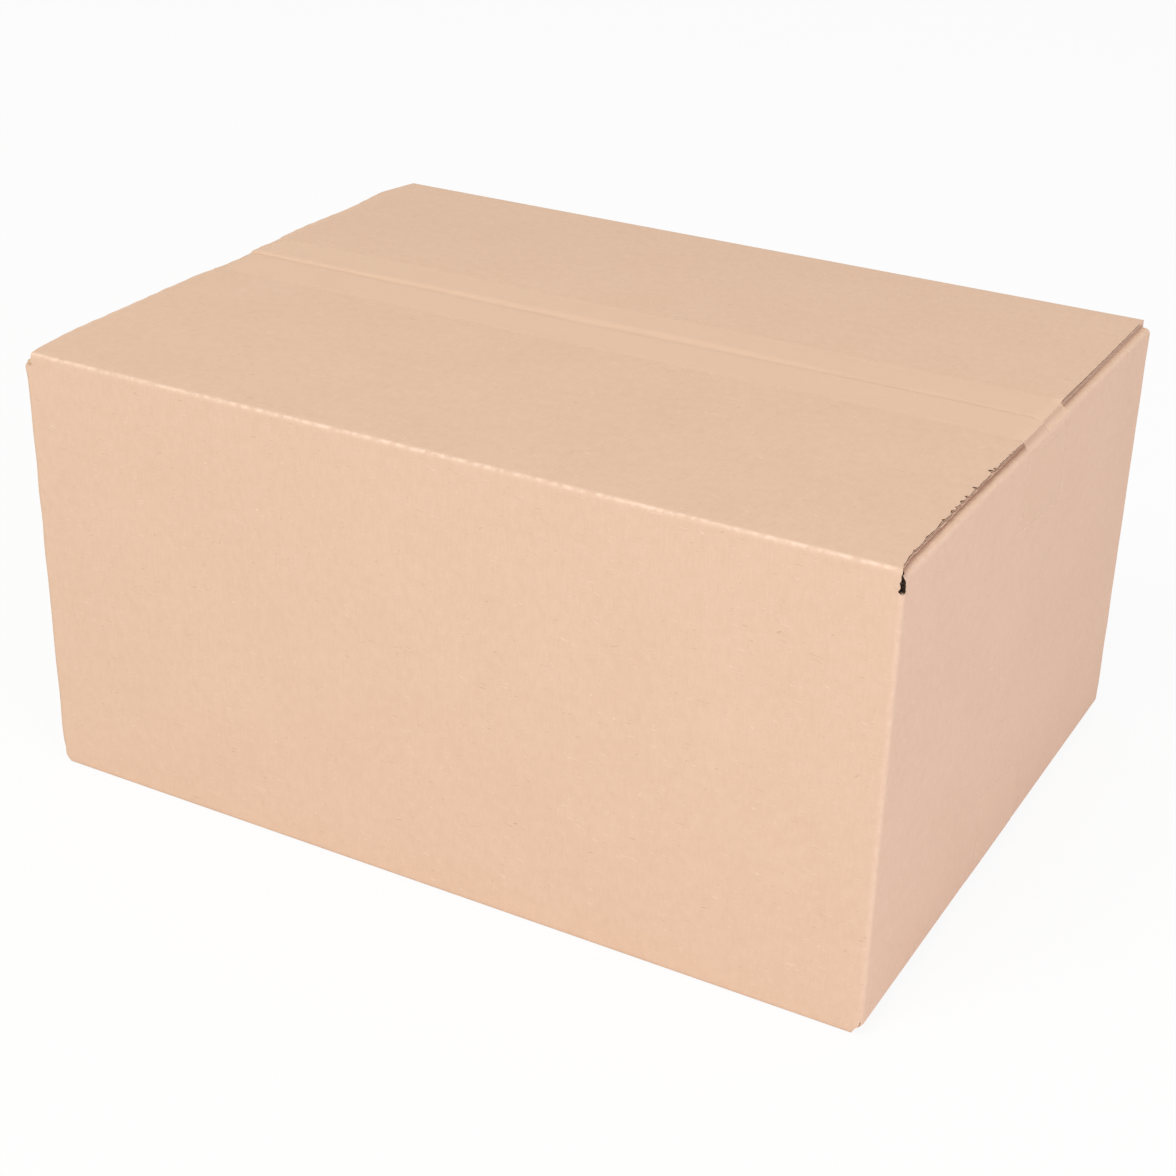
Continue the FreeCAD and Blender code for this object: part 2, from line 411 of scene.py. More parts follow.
def crushed(side, v, joined, bend):
    """Share of the board's thickness that is left at a crease, whole again where two creases meet."""
    near = hill(v, side.top - FOLD + 2.7, 3.2) + hill(v, side.low + FOLD - 2.7, 3.2)
    return 1 - 0.42 * near * (1 - joined * smooth_step(bend, 0.0, 0.6))


def tightness(angle, power):
    """How far a crease stands out past a round arc: paper breaks sharper than it bends."""
    return (np.cos(angle) ** power + np.sin(angle) ** power) ** (-1 / power) - 1


print("rear flap stands", round(float(seam_rise(0.0)[1] - seam_rise(0.0)[0]), 2), "mm over the front one")


# %% Place a point of the sheet
CORNERS = {("front", -1): "front_left", ("left", 1): "front_left", ("front", 1): "front_right",
           ("right", -1): "front_right", ("right", 1): "rear_right", ("rear", -1): "rear_right",
           ("rear", 1): "raw_edge", ("left", -1): "glue_fold"}
FLARE = {"front_left": 0.6, "front_right": 0.2, "rear_right": 0.1, "raw_edge": 0.0, "glue_fold": 0.3}


def slot_height(side, end):
    """Height where a corner's upper slot starts. Only the front right slot is torn wide open."""
    return SLOT_HIGH if CORNERS[side.name, end] == "front_right" else SLOT_CLOSED


def corner_flare(side, end, v):
    """Distance that an upright corner stands out where its slots begin."""
    corner = CORNERS[side.name, end]
    at_top = FLARE[corner] * hill(v, slot_height(side, end), 4.0)
    wobble = 0.12 * ripple(v, 3.0 * list(FLARE).index(corner), 25, 12)
    return at_top - 0.5 * hill(v, SLOT_LOW - 1.0, 4.0) + wobble


def place(side, u, v, depth, cut=None):
    """The point of the folded sheet, in millimetres, for arrays of u, v and depth."""
    u, v, depth = np.broadcast_arrays(*(np.asarray(a, float) for a in (u, v, depth)))
    cut = u if cut is None else np.broadcast_to(cut, u.shape)
    into, height, facing_out, facing_up = section(side, v)
    end = np.where(u < 0, -1, 1)
    slot = np.where(u < 0, slot_height(side, -1), slot_height(side, 1))
    joined = smooth_step(v, SLOT_LOW - 6.0, SLOT_LOW) * (1 - smooth_step(v, slot, slot + 1.5))
    flat = np.where(u < 0, side.flat[-1], side.flat[1])
    beyond = np.maximum(np.abs(u) - flat, 0)
    bend = np.minimum(beyond / FOLD, np.pi / 2)
    after = beyond - bend * FOLD
    along = np.minimum(np.abs(u), flat) + joined * FOLD * np.sin(bend) + (1 - joined) * beyond
    into = into + joined * (FOLD * (1 - np.cos(bend)) + after)
    bend = bend * joined
    push = pressed(side, u, v, cut)
    depth = push + depth * (1 - push / BOARD) * crushed(side, v, joined, bend)
    if side.name == "front":
        depth = depth * (1 - 0.4 * (v > HEIGHT) * (1 - smooth_step(np.abs(cut) - u, 0.0, 7.0)))
    flare = np.where(end < 0, corner_flare(side, -1, v), corner_flare(side, 1, v))
    crease = np.arctan2(np.abs(facing_up), facing_out)
    stand = FOLD * (tightness(crease, 3.6 if side.low == 0 else 2.3) + tightness(bend, 2.8))
    proud = swell(side, u, v) + stand + flare * smooth_step(bend, 0.0, np.pi / 4) - depth
    along = end * (along + proud * np.sin(bend))
    outward = proud * facing_out * np.cos(bend) - into
    height = height + proud * facing_up + BASE_Z
    return (side.centre + along[..., None] * side.along + outward[..., None] * side.outward
            + height[..., None] * np.array([0.0, 0.0, 1.0]))


print("front fold at", np.round(place(front, 0.0, HEIGHT, 0.0), 1))

# %% [markdown]
# ## Rows, columns and cut edges
# Each side becomes a grid: columns along `u`, rows along `v`. Near the cut edges the rows are
# fine, so that paper can be torn there, and in the middle they are wide. Where the two meet,
# a face simply has more corners, which keeps the mesh closed.


# %% Choose the rows
def steps(start, end, count):
    return list(np.linspace(start, end, count + 1)[1:])


def side_rows(side, reach_top, reach_low, fine):
    """Heights v of the rows, and which of them the wide middle uses."""
    low_turn = side.low + FOLD - FOLD * np.pi / 2
    top_turn = side.top - FOLD + FOLD * np.pi / 2
    low_end = low_turn - (reach_low - FOLD)
    top_end = top_turn + (reach_top - FOLD)
    rows = [low_end]
    wide = [0]

    def run(start, end, count, parts):
        for stop in steps(start, end, count):
            rows.extend(steps(rows[-1], stop, parts))
            wide.append(len(rows) - 1)

    seen = side.low == 0
    run(low_end, low_turn, 26 if seen else 8, 2 if seen else 1)
    run(low_turn, side.low + FOLD, 8, 1)
    if side.low == 0:
        run(side.low + FOLD, SLOT_LOW, 4, 1)
    for stop in (7.5, 8.5, 10, 13, 17, 22):
        run(rows[-1], stop, 1, 1)
    run(22, 176, 31, 1)
    for stop in (182, 186, 189, 190.5, 191.3, SLOT_HIGH):
        run(rows[-1], stop, 1, 1)
    run(SLOT_HIGH, SLOT_CLOSED, 4, 2)
    if side.top - FOLD > SLOT_CLOSED:
        run(SLOT_CLOSED, side.top - FOLD, 3, 2)
    run(side.top - FOLD, top_turn, 9, 1)
    run(top_turn, top_end - 8, 44 if seen else 12, fine)
    run(top_end - 8, top_end, 7, 1)
    return np.array(rows), wide


rows_of = {
    "front": side_rows(front, FRONT_REACH, 147.0, 4),
    "rear": side_rows(rear, REAR_REACH, 154.0, 2),
    "right": side_rows(right, 148.0, 148.0, 1),
    "left": side_rows(left, 148.0, 148.0, 1),
}
print("rows:", {name: len(rows) for name, (rows, _) in rows_of.items()})


# %% Where each flap is cut
TORN_CUT = ([0, 2, 4, 8, 14, 28, 45, 60, 80, 110, 130],
            [198.3, 198.0, 197.4, 196.9, 196.4, 196.2, 196.3, 196.1, 196.3, 196.6, 197.0])
FRONT_LEFT_CUT = ([0, 4, 10, 15, 21, 27, 33, 43, 60, 118, 128, 155],
                  [196.2, 196.7, 197.7, 198.3, 198.8, 199.5, 199.9, 200.2, 200.0, 200.3, 199.4, 199.5])
REAR_LEFT_CUT = ([0, 5, 15, 21, 27, 44, 60, 80, 106, 116, 124, 150],
                 [198.9, 199.8, 201.9, 203.1, 203.7, 202.3, 200.9, 201.2, 200.9, 200.0, 199.5, 199.5])
REAR_RIGHT_CUT = 196.0
LOWER_CUT = 195.5
RAW_UPRIGHT_EDGE = 201.2
GLUE_TAB = 30.0
GROOVE_DEPTH = 2.4


def flap_cut(side, end, v):
    """Distance from the middle of the side to a flap's cut end, before it is torn."""
    if side.name in ("left", "right"):
        return 149.3 - 1.7 * smooth_step(v, SLOT_CLOSED + 1, SLOT_CLOSED + 8)
    depth_in = flap_depth(side, v)
    if (side.name == "front") == (end < 0):
        spots, cuts = FRONT_LEFT_CUT if side.name == "front" else REAR_LEFT_CUT
        top = np.interp(depth_in, spots, cuts) + 0.2 * ripple(depth_in, 0.0, 12, 21)
    elif side.name == "front":
        top = np.interp(depth_in, *TORN_CUT)
    else:
        top = np.full_like(v, REAR_RIGHT_CUT)
    return np.where(v > SLOT_HIGH, top, LOWER_CUT)


def edge_of(side, end, v):
    """Distance from the middle to the last column: a joined corner or a cut end."""
    joint = side.flat[end] + HALF_FOLD
    free = flap_cut(side, end, v)
    if side.name == "rear" and end > 0:
        opening = smooth_step(v, SLOT_CLOSED, SLOT_CLOSED + 3.0)
        return np.where(v < SLOT_LOW, free, RAW_UPRIGHT_EDGE + (free - RAW_UPRIGHT_EDGE) * opening)
    if side.name == "left" and end < 0:
        joint = side.flat[end] + 2 * HALF_FOLD + GLUE_TAB
        opened = (v > SLOT_CLOSED) | (v < SLOT_LOW)
        return np.where(opened, free, joint)
    slot = slot_height(side, end)
    top = smooth_step(v, slot, slot + 1.0)
    low = 1 - smooth_step(v, SLOT_LOW - 6.5, SLOT_LOW)
    return joint + (free - joint) * np.maximum(top, low)


print("front flap cut at", float(flap_cut(front, 1, np.array([250.0]))[0]), "mm from the middle")


# %% Tear the paper
def nick(v, spots):
    """Bites out of an edge. Each spot is its place along v, its length and its depth."""
    total = np.zeros_like(v)
    for centre, length, bite in spots:
        total = np.maximum(total, bite * np.clip(1.3 - np.abs(v - centre) / (0.5 * length), 0, 1))
    return total


FRONT_NICKS = [(top_v(front, 17), 2.0, 0.5), (top_v(front, 30), 5.0, 0.5), (top_v(front, 44), 4.5, 0.7),
               (top_v(front, 47), 2.2, 1.3), (top_v(front, 56), 3.6, 0.9), (top_v(front, 60), 1.6, 1.3),
               (top_v(front, 66), 3.0, 0.8), (top_v(front, 71), 2.2, 1.2), (top_v(front, 80), 2.0, 2.1),
               (top_v(front, 98), 2.8, 2.4), (top_v(front, 101), 1.4, 1.2), (top_v(front, 117), 2.0, 0.6)]


def torn(side, end, v, paper):
    """How far a paper of the board stops short of the cut: 0 the outer liner, 1 the inner, 2 the flutes."""
    worn = side.name == "front" and end > 0
    rough = 0.22 if worn else 0.1
    if CORNERS[side.name, end] == "front_right":
        rough = rough + 0.3 * (v < HEIGHT)
    loss = rough * ragged(v, 1.1, 31 + 5 * paper + 11 * end) + 0.5 * rough * ragged(v, 3.7, 77 + paper)
    if worn and paper == 0:
        loss = loss + nick(v, FRONT_NICKS)
    if worn and paper == 2:
        loss = loss + 0.5 * nick(v, [(spot + 1.0, length, bite) for spot, length, bite in FRONT_NICKS])
    return loss


def open_depth(side, end, v):
    """How deep a cut end lies open between the two liners."""
    if side.name == "rear" and end > 0:
        ends = smooth_step(v, v.min(), v.min() + 2) * (1 - smooth_step(v, v.max() - 2, v.max()))
    else:
        above = smooth_step(v, HEIGHT + 1.0, HEIGHT + 9.0) * (1 - smooth_step(v, v.max() - 2, v.max()))
        below = (1 - smooth_step(v, SLOT_LOW - 10.0, SLOT_LOW - 8.0)) * smooth_step(v, v.min(), v.min() + 2)
        ends = above + below
    return GROOVE_DEPTH * ends


print("nicks in the front flap:", len(FRONT_NICKS))

# %% [markdown]
# ## Collect the mesh
# Points and faces go into lists, and the mesh is made once. Points that fall together, such as
# those of two sides at their corner, are merged, which sews the sheet.


# %% A pen for meshes
class Pen:
    """Points, faces and paper kinds of one piece."""

    def __init__(self):
        self.points = []
        self.sheet = []
        self.faces = []
        self.papers = []

    def add(self, points, sheet):
        first = len(self.points)
        count = int(np.prod(points.shape[:-1]))
        self.points.extend(points.reshape(-1, 3))
        self.sheet.extend(np.asarray(sheet, float).reshape(-1, 3))
        return first + np.arange(count).reshape(points.shape[:-1])

    def face(self, corners, paper=0, flip=False):
        loop = list(dict.fromkeys(int(c) for c in corners))
        if len(loop) > 2:
            self.faces.append(loop[::-1] if flip else loop)
            self.papers.append(paper)

    def strip(self, ids, paper=0, flip=False):
        """Four-cornered faces over a grid of points."""
        for row in range(ids.shape[0] - 1):
            for column in range(ids.shape[1] - 1):
                self.face([ids[row, column], ids[row, column + 1], ids[row + 1, column + 1],
                           ids[row + 1, column]], paper, flip)

    def make(self, name, materials, sharp=35.0, weld=True):
        mesh = bpy.data.meshes.new(name)
        mesh.from_pydata([tuple(p * MM) for p in self.points], [], self.faces)
        mesh.polygons.foreach_set("material_index", self.papers)
        layer = mesh.attributes.new("sheet", "FLOAT_VECTOR", "POINT")
        layer.data.foreach_set("vector", (np.array(self.sheet) * MM).astype(np.float32).ravel())
        shape = bmesh.new()
        shape.from_mesh(mesh)
        bmesh.ops.delete(shape, geom=[p for p in shape.verts if not p.link_faces], context="VERTS")
        if weld:
            bmesh.ops.remove_doubles(shape, verts=shape.verts, dist=1e-6)
        shape.to_mesh(mesh)
        triangles = sum(len(f.verts) - 2 for f in shape.faces)
        open_edges = sum(1 for e in shape.edges if len(e.link_faces) != 2)
        shape.free()
        for material in materials:
            mesh.materials.append(material)
        mesh.shade_smooth()
        mesh.set_sharp_from_angle(angle=math.radians(sharp))
        piece = bpy.data.objects.new(name, mesh)
        bpy.context.scene.collection.objects.link(piece)
        print(name, "triangles", triangles, "open edges", open_edges)
        return piece


print("the pen is ready")

# %% [markdown]
# ## The kraft paper
# Kraft liner is a warm tan with a faint cloudy mottle, short fibres, a few dark specks, and
# the flutes just showing through as fine upright bands. All of it is drawn in the sheet's own
# coordinates, so it runs over the folds as it does on the real blank. The raw edge is the
# rougher brown paper inside the board. The third number of the sheet's attribute says how far
# a crease is painted pale, partly as paper worn pale and partly as a painted highlight on its
# ridge, and on a raw edge how much painted shade darkens the groove and the open slot.


# %% Mix the kraft finish
KRAFT = (0.775, 0.545, 0.392, 1)
KRAFT_DARK = (0.735, 0.505, 0.355, 1)
FIBRE_DARK = (0.52, 0.34, 0.22, 1)
FIBRE_LIGHT = (0.88, 0.68, 0.52, 1)
CREASE_WEAR_AND_HIGHLIGHT = (0.93, 0.71, 0.55, 1)
RAW_DARK = (0.68, 0.48, 0.34, 1)
RAW_LIGHT = (0.86, 0.64, 0.47, 1)
PAINTED_GROOVE_SHADE = (0.03, 0.018, 0.012, 1)
FILM_TINT = (0.785, 0.545, 0.375, 1)
FILM_ALPHA = 0.4


def fibres(wire, place_on_sheet, turn_degrees, density, seed):
    """A mask of short thin strokes lying near one direction."""
    shifted = wire.node("ShaderNodeMapping", sockets={
        "Vector": place_on_sheet, "Location": (seed * 0.37, seed * 0.11, 0.0),
        "Rotation": (0, 0, math.radians(turn_degrees)), "Scale": (density, density * 6.0, density)})
    bent = wire.node("ShaderNodeTexNoise", sockets={"Vector": shifted, "Scale": 0.8, "Detail": 1.0}, out=1)
    bent = wire.node("ShaderNodeVectorMath", {"operation": "MULTIPLY_ADD"},
                     {0: bent, 1: (0.9, 2.4, 0.0), 2: shifted})
    spots = wire.node("ShaderNodeTexVoronoi", {"voronoi_dimensions": "3D"}, {"Vector": bent, "Scale": 1.0})
    return 1 - spots.between(0.06, 0.17)


def kraft_material(name):
    material, output, wire = new_material(name)
    sheet = wire.node("ShaderNodeAttribute", {"attribute_name": "sheet"}, out=1)
    across = wire.node("ShaderNodeSeparateXYZ", sockets={"Vector": sheet}, out=0)
    crease = wire.node("ShaderNodeSeparateXYZ", sockets={"Vector": sheet}, out=2) * (1 / MM)
    clouds = wire.node("ShaderNodeTexNoise", sockets={"Vector": sheet, "Scale": 26.0, "Detail": 3.0})
    mottle = wire.node("ShaderNodeTexNoise", sockets={"Vector": sheet, "Scale": 210.0, "Detail": 3.0})
    grain = wire.node("ShaderNodeTexNoise", sockets={"Vector": sheet, "Scale": 1500.0, "Detail": 2.0})
    strands = wire.node("ShaderNodeTexNoise", sockets={
        "Vector": wire.stretch(sheet, (1.0, 0.18, 1.0)), "Scale": 900.0, "Detail": 2.0})
    tone = (clouds - 0.5) * 0.9 + (mottle - 0.5) * 1.5 + (grain - 0.5) * 1.6 + (strands - 0.5) * 1.3 + 0.4
    paper = tone.between(-0.3, 1.1).blend(KRAFT_DARK, KRAFT)
    dark = wire.maths("MAXIMUM", fibres(wire, sheet, 20, 150.0, 1), fibres(wire, sheet, 115, 170.0, 2))
    light = wire.maths("MAXIMUM", fibres(wire, sheet, 70, 160.0, 3), fibres(wire, sheet, 155, 140.0, 4))
    rare = wire.node("ShaderNodeTexNoise", sockets={"Vector": sheet, "Scale": 120.0}).between(0.45, 0.62)
    paper = (dark * rare * 0.6).blend(paper, FIBRE_DARK)
    paper = (light * (1 - rare) * 0.6).blend(paper, FIBRE_LIGHT)
    worn = wire.node("ShaderNodeTexNoise", sockets={"Vector": sheet, "Scale": 330.0, "Detail": 3.0})
    # Paler in patches along the creases: partly paper worn pale, partly a painted highlight on the fold
    # ridges.
    paper = (crease * worn.between(0.3, 0.7)).blend(paper, CREASE_WEAR_AND_HIGHLIGHT)
    flutes = wire.maths("SINE", across * (2 * math.pi / (FLUTE_PITCH * MM)))
    height = flutes * 0.012 + mottle * 0.05 + grain * 0.016 + strands * 0.02
    bumps = wire.node("ShaderNodeBump", sockets={"Strength": 1.0, "Distance": MM, "Height": height})
    board = wire.node("ShaderNodeBsdfPrincipled", sockets={
        "Base Color": paper, "Roughness": 0.72 + mottle * 0.12, "Normal": bumps,
        "Specular IOR Level": 0.25})
    material.node_tree.links.new(board.socket, output.inputs["Surface"])
    return material


kraft = kraft_material("kraft_liner")
print("kraft nodes:", len(kraft.node_tree.nodes))


# %% Mix the raw edge
def raw_edge_material(name):
    material, output, wire = new_material(name)
    place_in_box = wire.node("ShaderNodeTexCoord", out=3)
    fluff = wire.node("ShaderNodeTexNoise", sockets={"Vector": place_in_box, "Scale": 1400.0, "Detail": 3.0})
    groove_shade = wire.node("ShaderNodeAttribute", {"attribute_name": "sheet"}, out=1)
    groove_shade = wire.node("ShaderNodeSeparateXYZ", sockets={"Vector": groove_shade}, out=2) * (1 / MM)
    paper = fluff.between(0.3, 0.75).blend(RAW_DARK, RAW_LIGHT)
    # Painted shade: near black where the sheet's third number marks the shaded groove and the open slot.
    paper = (groove_shade * (0.75 + fluff * 0.5)).blend(paper, PAINTED_GROOVE_SHADE)
    bumps = wire.node("ShaderNodeBump", sockets={"Strength": 1.0, "Distance": MM, "Height": fluff * 0.15})
    board = wire.node("ShaderNodeBsdfPrincipled", sockets={
        "Base Color": paper, "Roughness": 0.9, "Normal": bumps, "Specular IOR Level": 0.15})
    material.node_tree.links.new(board.socket, output.inputs["Surface"])
    return material


raw_edge = raw_edge_material("raw_board_edge")
print("raw edge nodes:", len(raw_edge.node_tree.nodes))

# %% [markdown]
# ## Fold the sheet
# Every side is drawn twice, as the outer liner and the inner liner, and their cut ends are
# joined by a rim with an open groove. Inside the groove lies the fluted paper, a wave between
# the two liners, which is what a cut along the flutes shows.


# %% Columns of a side
def column_shares(side, end):
    """Places of the last columns, from 0 where the end zone starts to 1 at the edge."""
    start = side.flat[end] - 7.0
    stops = [start, start + 3, start + 5, side.flat[end]]
    if side.name == "left" and end < 0:
        stops += [side.flat[end] + 2 * HALF_FOLD * s / 8 for s in range(1, 9)]
        stops += [side.flat[end] + 2 * HALF_FOLD + GLUE_TAB * s for s in (0.5, 1.0)]
    else:
        stops += [side.flat[end] + HALF_FOLD * s / 6 for s in range(1, 7)]
    return start, (np.array(stops) - start) / (stops[-1] - start)


def side_columns(side, v, paper):
    """u of every point of a side's grid, with the counts of the two end zones."""
    low_start, low_shares = column_shares(side, -1)
    high_start, high_shares = column_shares(side, 1)
    middle = np.linspace(-low_start, high_start, 76 if side.half > 160 else 56)[1:-1]
    edges = {end: edge_of(side, end, v) - np.where(is_cut(side, end, v), torn(side, end, v, paper), 0.0)
             for end in (-1, 1)}
    lower = -(low_start + low_shares[::-1][None, :] * (edges[-1] - low_start)[:, None])
    upper = high_start + high_shares[None, :] * (edges[1] - high_start)[:, None]
    u = np.concatenate([lower, np.repeat(middle[None, :], len(v), 0), upper], 1)
    return u, len(low_shares), len(high_shares), edges


def is_cut(side, end, v):
    """Where the last column is a cut end and not a joined corner."""
    if (side.name == "rear" and end > 0) or (side.name == "left" and end < 0):
        return np.ones_like(v, bool)
    return (v > slot_height(side, end)) | (v < SLOT_LOW)


print("end columns:", len(column_shares(front, 1)[1]), "of the front")


# %% Draw the liners
def draw_liner(pen, side, depth, paper, every, flip):
    v, wide = rows_of[side.name]
    u, low_count, high_count, edges = side_columns(side, v, paper)
    cut = np.where(u < 0, -edges[-1][:, None], edges[1][:, None])
    points = place(side, u, v[:, None], depth, cut)
    # Painted highlight and wear: the crease mask is strongest on the ridge of the upper folds of the front
    # and rear, weaker on the ends, and faint on the upright corners.
    middle_of_fold = hill(v, side.top - FOLD * (1 - np.pi / 4) + 0.15, 0.6) * (1.0 if side.low == 0 else 0.3)
    crease_wear_and_highlight = np.maximum(middle_of_fold[:, None], 0.25 * hill(np.abs(u), side.flat[1] + HALF_FOLD, 0.9))
    sheet = np.stack([u + side.start, np.repeat(v[:, None], u.shape[1], 1), crease_wear_and_highlight], -1)
    ids = pen.add(points, sheet)
    pen.strip(ids[:, :low_count], 0, flip)
    pen.strip(ids[:, -high_count:], 0, flip)
    chosen = list(range(low_count - 1, u.shape[1] - high_count + 1, every))
    if chosen[-1] != u.shape[1] - high_count:
        chosen.append(u.shape[1] - high_count)
    for below, above in zip(wide[:-1], wide[1:]):
        for near, far in zip(chosen[:-1], chosen[1:]):
            rising = list(range(below, above + 1)) if far == chosen[-1] else [below, above]
            falling = list(range(above, below - 1, -1)) if near == chosen[0] else [above, below]
            pen.face([ids[row, far] for row in rising] + [ids[row, near] for row in falling], 0, flip)
    kept = list(range(low_count - 1)) + chosen + list(range(u.shape[1] - high_count + 1, u.shape[1]))
    return ids, kept, edges


def draw_rims(pen, side, outer, inner, edges):
    """The cut ends, as two liner edges with an open groove between them."""
    v, _ = rows_of[side.name]
    for end, column in ((-1, 0), (1, -1)):
        cut_rows = is_cut(side, end, v)
        cut_rows[1:] |= is_cut(side, end, v)[:-1] & (v[1:] < HEIGHT / 2)
        cut_rows[:-1] |= is_cut(side, end, v)[1:] & (v[:-1] > HEIGHT / 2)
        back = edge_of(side, end, v) - open_depth(side, end, v)
        back = np.minimum(back, np.minimum(edges[0][end], edges[1][end]))
        profile = [(LINER, edges[0][end]), (LINER, back),
                   (BOARD - LINER, back), (BOARD - LINER, edges[1][end])]
        rings = [outer[:, column]]
        for depth, distance in profile:
            points = place(side, end * distance, v, depth, end * edges[0][end])
            # Painted shade: the open front right slot is painted near black, and the back of an open groove
            # darker.
            dark = smooth_step(v, SLOT_HIGH, SLOT_HIGH + 0.5)
            dark = dark * (1 - smooth_step(v, HEIGHT + 0.5, HEIGHT + 2.5))
            dark = dark * (CORNERS[side.name, end] == "front_right")
            painted_shade = np.maximum(dark, 0.45 * (open_depth(side, end, v) > 1.0) * (distance is back))
            sheet = np.stack([end * distance + side.start, v, painted_shade], -1)
            rings.append(pen.add(points, sheet))
        rings.append(inner[:, column])
        rim = np.stack(rings, 1)
        for row in range(len(v) - 1):
            if cut_rows[row] and cut_rows[row + 1]:
                pen.strip(rim[row:row + 2], 1, end < 0)
        yield end, rim


def draw_free_edge(pen, outer, inner, outer_kept, inner_kept, rims, row, flip):
    """The edge of a flap at the seam, from one cut end to the other."""
    starts = [int(i) for i in rims[-1][row][1:-1]]
    stops = [int(i) for i in rims[1][row][1:-1]]
    for near, far in zip(inner_kept[:-1], inner_kept[1:]):
        outer_run = [int(outer[row, c]) for c in outer_kept if near <= c <= far]
        loop = outer_run
        if far == inner_kept[-1]:
            loop = loop + stops
        loop = loop + [int(inner[row, far]), int(inner[row, near])]
        if near == inner_kept[0]:
            loop = loop + starts[::-1]
        pen.face(loop, 1, flip)


pen = Pen()
for side in sides.values():
    outer, outer_kept, outer_edges = draw_liner(pen, side, 0.0, 0, 1, False)
    inner, inner_kept, inner_edges = draw_liner(pen, side, BOARD, 1, 6, True)
    rims = dict(draw_rims(pen, side, outer, inner, [outer_edges, inner_edges]))
    draw_free_edge(pen, outer, inner, outer_kept, inner_kept, rims, 0, False)
    draw_free_edge(pen, outer, inner, outer_kept, inner_kept, rims, -1, True)
print("points drawn:", len(pen.points))

# %% [markdown]
# ## The fluted paper
# Between the liners runs a wave of thin paper. Only its last bit shows, in the cut ends and the
# slots, so it is drawn there, as deep as the groove between the liners is open.


# %% Draw the flutes at the cut ends
FLUTE_PAPER = 0.4


def draw_flutes(pen, side, end, phase, v_low, v_high):
    v, _ = rows_of[side.name]
    v = v[(v >= v_low) & (v <= v_high)]
    edge = edge_of(side, end, v)
    all_rows = rows_of[side.name][0]
    depth_open = np.interp(v, all_rows, open_depth(side, end, all_rows))
    shares = np.linspace(0, 1, 12)
    reach = edge - torn(side, end, v, 2) - 0.1
    u = reach[:, None] - shares[None, :] * (depth_open[:, None] - 0.05)
    sway = 0.35 * ripple(v, 0.0, 30, 9)[:, None]
    wave = np.sin((u - edge[:, None]) * 2 * np.pi / FLUTE_PITCH + phase + sway)
    middle = BOARD / 2 - 0.1 - 0.6 * wave
    layers = []
    for offset in (-FLUTE_PAPER / 2, FLUTE_PAPER / 2):
        points = place(side, end * u, v[:, None], middle + offset, end * edge[:, None])
        # Painted shade: the flute paper is painted darker the deeper it lies in the groove.
        painted_shade = np.repeat(0.5 * shares[None, :], len(v), 0)
        sheet = np.stack([end * u + side.start, np.repeat(v[:, None], u.shape[1], 1), painted_shade], -1)
        layers.append(pen.add(points, sheet))
    near, far = layers
    pen.strip(near, 1, end > 0)
    pen.strip(far, 1, end < 0)
    for first, second, flip in ((near[:, 0], far[:, 0], end < 0), (near[:, -1], far[:, -1], end > 0)):
        pen.strip(np.stack([first, second], 1), 1, flip)
    for first, second, flip in ((near[0], far[0], end > 0), (near[-1], far[-1], end < 0)):
        pen.strip(np.stack([first, second], 1), 1, flip)


top_free = {name: rows[0].max() - 2.5 for name, rows in rows_of.items()}
draw_flutes(pen, front, 1, 0.1, HEIGHT + 3.0, top_free["front"])
draw_flutes(pen, rear, -1, -1.5, HEIGHT + 3.0, top_free["rear"])
draw_flutes(pen, front, -1, 0.9, HEIGHT + 3.0, top_free["front"])
draw_flutes(pen, rear, 1, 0.4, SLOT_LOW + 1.2, top_free["rear"])
print("points with the flutes:", len(pen.points))

# %% Make the box
folded_board = pen.make("folded_board", [kraft, raw_edge])
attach(folded_board, "root")
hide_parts("box_blank")

# %% [markdown]
# ## The tape
# Clear packing tape is a thin film, glued on its underside. It lies on both flaps, bridges the
# seam, runs over the ends and ends in a tail on each end panel. It is one long grid of
# points: rows across the width, and stations along the run, each laid on the board beneath.
# Real film this thin hardly dims the board. Here its two see-through faces would, so it casts no
# shadow and light bounced between the surfaces passes it by.


# %% Mix the film
def film_material(name):
    material, output, wire = new_material(name)
    place_in_box = wire.node("ShaderNodeTexCoord", out=3)
    drift = wire.node("ShaderNodeTexNoise", sockets={"Vector": place_in_box, "Scale": 60.0, "Detail": 2.0})
    bumps = wire.node("ShaderNodeBump", sockets={"Strength": 0.5, "Distance": MM, "Height": drift * 0.1})
    film = wire.node("ShaderNodeBsdfPrincipled", sockets={
        "Base Color": FILM_TINT, "Roughness": 0.5, "Alpha": FILM_ALPHA, "Normal": bumps, "IOR": 1.4})
    material.node_tree.links.new(film.socket, output.inputs["Surface"])
    return material


film = film_material("clear_film")
print("film nodes:", len(film.node_tree.nodes))

# %% Lay the tape over the box
FILM = 0.06
FILM_GAP = 0.07
TAPE_ROWS = 27


def surface_z(x, y):
    """Height of the board under the top tape, with the seam bridged."""
    front_v = top_v(front, y - FRONT_Y)
    rear_v = top_v(rear, REAR_Y - y)
    front_cut = np.where(x < 0, -flap_cut(front, -1, front_v), flap_cut(front, 1, front_v))
    rear_cut = np.where(x < 0, flap_cut(rear, 1, rear_v), -flap_cut(rear, -1, rear_v))
    front_v = np.minimum(front_v, top_v(front, FRONT_REACH))
    rear_v = np.minimum(rear_v, top_v(rear, REAR_REACH))
    on_front = place(front, x - MIDDLE_X, front_v, 0.0, front_cut)[..., 2]
    on_rear = place(rear, MIDDLE_X - x, rear_v, 0.0, rear_cut)[..., 2]
    dip = 0.2 * hill(y, SEAM_Y, 0.8) * smooth_step(x - LEFT_X, 280, 320)
    return on_front + (on_rear - on_front) * smooth_step(y, SEAM_Y - 0.9, SEAM_Y + 0.5) - dip


